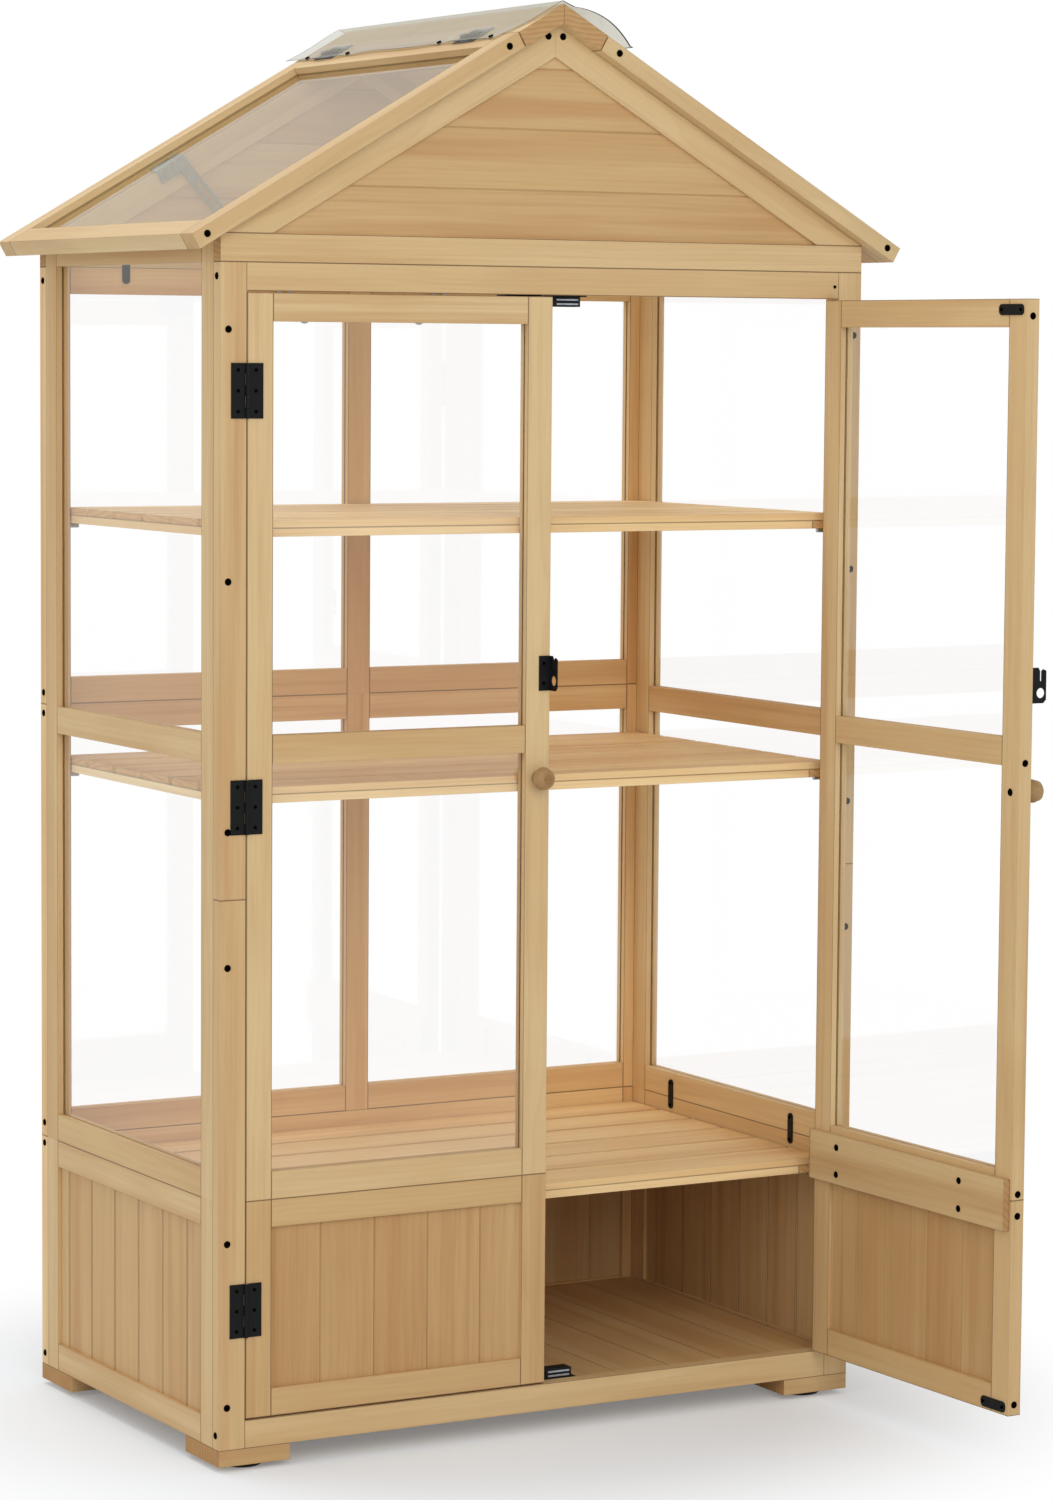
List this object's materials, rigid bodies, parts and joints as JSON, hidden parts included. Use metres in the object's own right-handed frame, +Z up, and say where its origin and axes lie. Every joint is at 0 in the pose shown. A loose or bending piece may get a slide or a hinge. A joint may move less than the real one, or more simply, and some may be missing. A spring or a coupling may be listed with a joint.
{
  "type": "mini greenhouse",
  "caption": "Tall glazed wooden greenhouse cabinet with two front doors, slatted shelves, a storage compartment and a gabled roof with two opening lids.",
  "frame": {"origin": "on the floor, midway between the four feet", "axes": "+X to the right as seen from the doors, +Y to the back, +Z up"},
  "size_m": [0.9694, 0.9839, 1.7289],
  "materials": {
    "wood": "clear-oiled planed fir",
    "shelf_wood": "plain planed fir",
    "glazing": "clear glass",
    "lid_glazing": "frosted translucent sheet",
    "black_metal": "black powder coat",
    "roof_metal": "black powder coat",
    "plain_steel": "zinc plated",
    "black_plastic": "moulded black plastic",
    "film": "clear flexible film"
  },
  "bodies": {
    "root": {"back_lower_frame": "wood", "back_middle_frame": "wood", "back_panes": "glazing", "back_planks": "wood", "back_upper_frame": "wood", "corner_feet": "wood", "deck": "shelf_wood", "door_catches": "black_plastic", "door_hinge_fixed_leaves": "black_metal", "floor_bearers": "wood", "floor_boards": "wood", "foot_glides": "black_plastic", "front_gable_frame": "wood", "front_rails": "wood", "front_stiles": "wood", "gable_planks": "wood", "hinge_pins": "plain_steel", "left_lower_frame": "wood", "left_upper_frame": "wood", "lid_hinge_fixed_leaves": "roof_metal", "mending_plates": "black_metal", "rear_gable_frame": "wood", "ridge_boards": "wood", "ridge_film": "film", "right_lower_frame": "wood", "right_upper_frame": "wood", "shelf_pins": "plain_steel", "side_panes": "glazing", "side_planks": "wood", "stay_screws": "plain_steel"},
    "left_door": {"left_door_frame": "wood", "left_door_panes": "glazing", "left_door_planks": "wood", "left_door_batten": "wood", "left_door_strike_plates": "black_metal", "left_door_hinge_leaves": "black_metal", "left_door_knob": "wood", "left_door_hasp": "black_metal"},
    "left_lid": {"left_lid_frame": "wood", "left_lid_pane": "lid_glazing", "left_lid_hinge_leaves": "roof_metal", "left_stay_bracket": "plain_steel", "left_film_flap": "film"},
    "left_stay": {"left_stay_arm": "plain_steel"},
    "right_door": {"right_door_frame": "wood", "right_door_panes": "glazing", "right_door_planks": "wood", "right_door_batten": "wood", "right_door_strike_plates": "black_metal", "right_door_hinge_leaves": "black_metal", "right_door_knob": "wood", "right_door_hasp": "black_metal"},
    "right_lid": {"right_lid_frame": "wood", "right_lid_pane": "lid_glazing", "right_lid_hinge_leaves": "roof_metal", "right_stay_bracket": "plain_steel", "right_film_flap": "film"},
    "right_stay": {"right_stay_arm": "plain_steel"},
    "upper_shelf": {"upper_shelf": "shelf_wood"},
    "middle_shelf": {"middle_shelf": "shelf_wood"}
  },
  "joints": [
    {"name": "left_door_hinge", "type": "hinge", "parent": "root", "child": "left_door", "pos_m": [-0.40625, -0.2647, 0.7], "axis": [0, 0, -1], "range_deg": [0, 180]},
    {"name": "right_door_hinge", "type": "hinge", "parent": "root", "child": "right_door", "pos_m": [0.40625, -0.2647, 0.7], "axis": [0, 0, 1], "range_deg": [-92, 88]},
    {"name": "left_lid_hinge", "type": "hinge", "parent": "root", "child": "left_lid", "pos_m": [-0.0626, 0, 1.69445], "axis": [0, 1, 0], "range_deg": [0, 24]},
    {"name": "right_lid_hinge", "type": "hinge", "parent": "root", "child": "right_lid", "pos_m": [0.0626, 0, 1.69445], "axis": [0, -1, 0], "range_deg": [0, 24]},
    {"name": "left_stay_pivot", "type": "hinge", "parent": "left_lid", "child": "left_stay", "pos_m": [-0.25408, 0.238, 1.54811], "axis": [0, -1, 0], "range_deg": [0, 18]},
    {"name": "right_stay_pivot", "type": "hinge", "parent": "right_lid", "child": "right_stay", "pos_m": [0.25408, 0.238, 1.54811], "axis": [0, 1, 0], "range_deg": [0, 18]},
    {"name": "upper_shelf_lift", "type": "slide", "parent": "root", "child": "upper_shelf", "axis": [0, 0, 1], "range_m": [0, 0.05]},
    {"name": "middle_shelf_lift", "type": "slide", "parent": "root", "child": "middle_shelf", "axis": [0, 0, 1], "range_m": [0, 0.05]}
  ],
  "couplings": [
    {"joint": "left_stay_pivot", "follows": "left_lid_hinge", "ratio": 0.748},
    {"joint": "right_stay_pivot", "follows": "right_lid_hinge", "ratio": 0.748}
  ]
}
